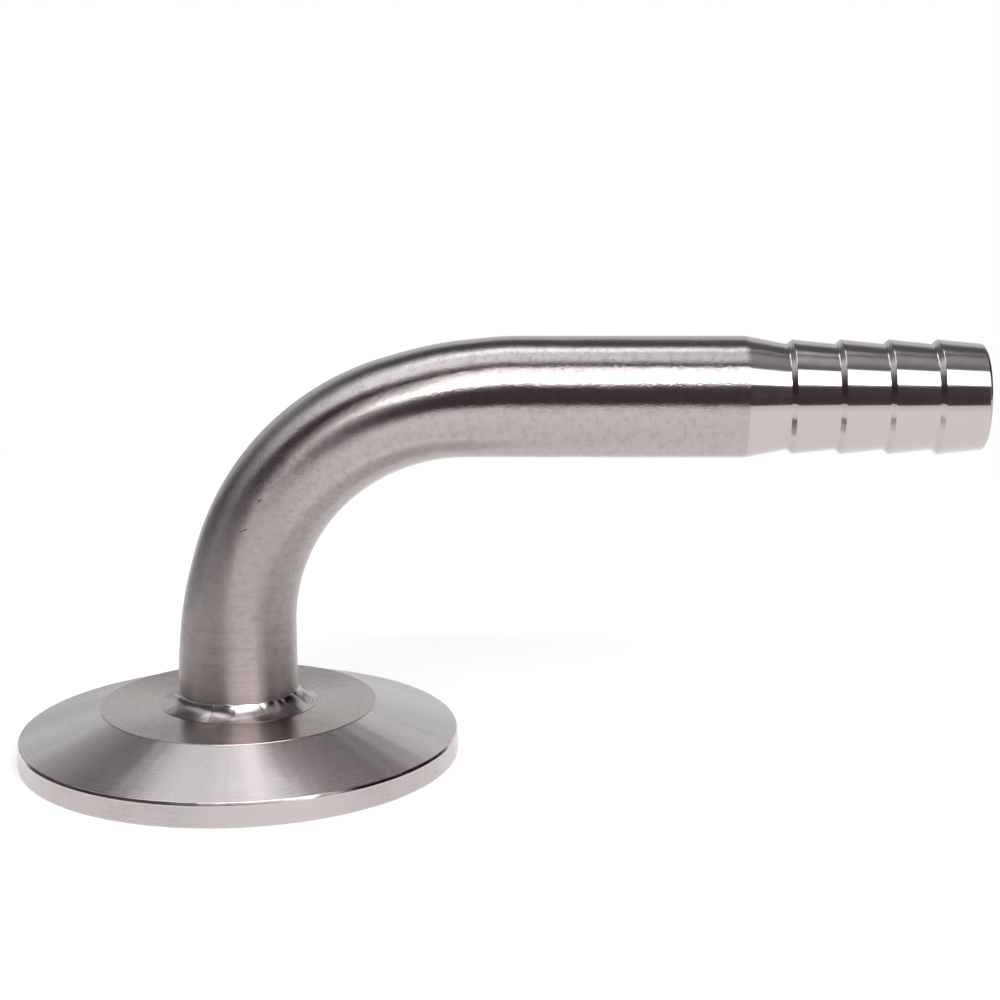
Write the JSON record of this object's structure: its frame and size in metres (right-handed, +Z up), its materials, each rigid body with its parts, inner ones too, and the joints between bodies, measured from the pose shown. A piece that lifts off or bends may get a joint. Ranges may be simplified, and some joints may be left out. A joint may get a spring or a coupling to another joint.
{
  "type": "barbed sanitary clamp elbow",
  "caption": "Turned clamp ferrule welded to a short steel tube bent through a right angle, with a ridged hose tail on its free end, to join a hose to a sanitary clamp joint.",
  "frame": {"origin": "centre of the gasket face, on the ferrule's axis", "axes": "+Z up along the ferrule's axis, away from the gasket face; +X along the hose barb, towards its tip"},
  "size_m": [0.1092, 0.0506, 0.0484],
  "materials": {
    "turned_steel": "lathe-turned stainless steel, bright",
    "satin_steel": "satin stainless steel tube, polished at the barb",
    "weld_steel": "fused stainless steel, smooth and glossy"
  },
  "bodies": {
    "root": {"clamp_ferrule": "turned_steel", "barbed_elbow_tube": "satin_steel", "weld_bead": "weld_steel"}
  },
  "joints": []
}
